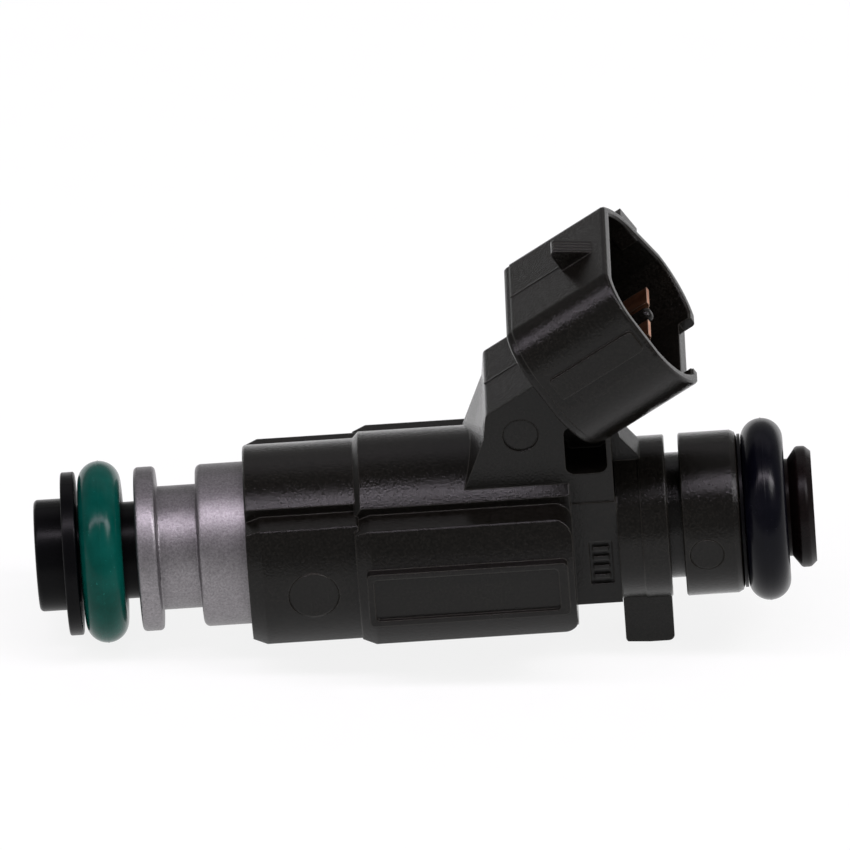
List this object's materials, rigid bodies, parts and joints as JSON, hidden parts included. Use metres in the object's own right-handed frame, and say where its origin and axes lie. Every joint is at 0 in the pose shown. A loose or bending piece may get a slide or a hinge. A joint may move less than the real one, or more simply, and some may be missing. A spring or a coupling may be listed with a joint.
{
  "type": "fuel injector",
  "caption": "Top-feed solenoid fuel injector: nozzle, coil body, angled two-blade socket and O-ring seals, with a lifting needle valve.",
  "frame": {"origin": "centre of the lower O-ring, on the injector's axis", "axes": "+X along the axis from the nozzle to the fuel inlet, +Z towards the electrical connector"},
  "size_m": [0.0623, 0.0206, 0.0365],
  "materials": {
    "black_plastic": "moulded glass-filled nylon, fine grain",
    "housing_steel": "bead-blasted stainless steel",
    "cap_plastic": "smooth black plastic",
    "green_rubber": "moulded dark green fluoro rubber, glossy",
    "black_rubber": "moulded blue-black rubber, glossy",
    "ground_steel": "ground stainless steel",
    "magnet_steel": "turned magnetic stainless steel",
    "spring_steel": "drawn spring steel",
    "filter_plastic": "dark brown moulded nylon",
    "filter_mesh": "woven nylon mesh",
    "bobbin_plastic": "natural nylon",
    "copper_wire": "enamelled copper wire",
    "terminal_copper": "bare copper alloy strip"
  },
  "bodies": {
    "injector_body": {"overmould_housing": "black_plastic", "magnet_housing": "housing_steel", "nozzle_cap": "cap_plastic", "lower_o_ring": "green_rubber", "upper_o_ring": "black_rubber", "upper_backing_ring": "cap_plastic", "nozzle_body": "ground_steel", "nozzle_body_seal": "black_rubber", "orifice_plate": "ground_steel", "stop_washer": "ground_steel", "return_spring": "spring_steel", "adjusting_sleeve": "spring_steel", "guide_sleeve": "ground_steel", "inlet_tube": "magnet_steel", "inlet_filter_frame": "filter_plastic", "inlet_filter_screen": "filter_mesh", "coil_bobbin": "bobbin_plastic", "coil_winding": "copper_wire", "bobbin_seal": "black_rubber", "yoke_washer": "magnet_steel", "terminal_left": "terminal_copper", "terminal_right": "terminal_copper"},
    "valve_needle": {"needle": "ground_steel", "armature": "magnet_steel"}
  },
  "joints": [
    {"name": "needle_lift", "type": "slide", "parent": "injector_body", "child": "valve_needle", "axis": [1, 0, 0], "range_m": [0, 0.0001], "stiffness_N_per_m": 400, "springref_m": -0.004, "deforming": ["return_spring"]}
  ]
}
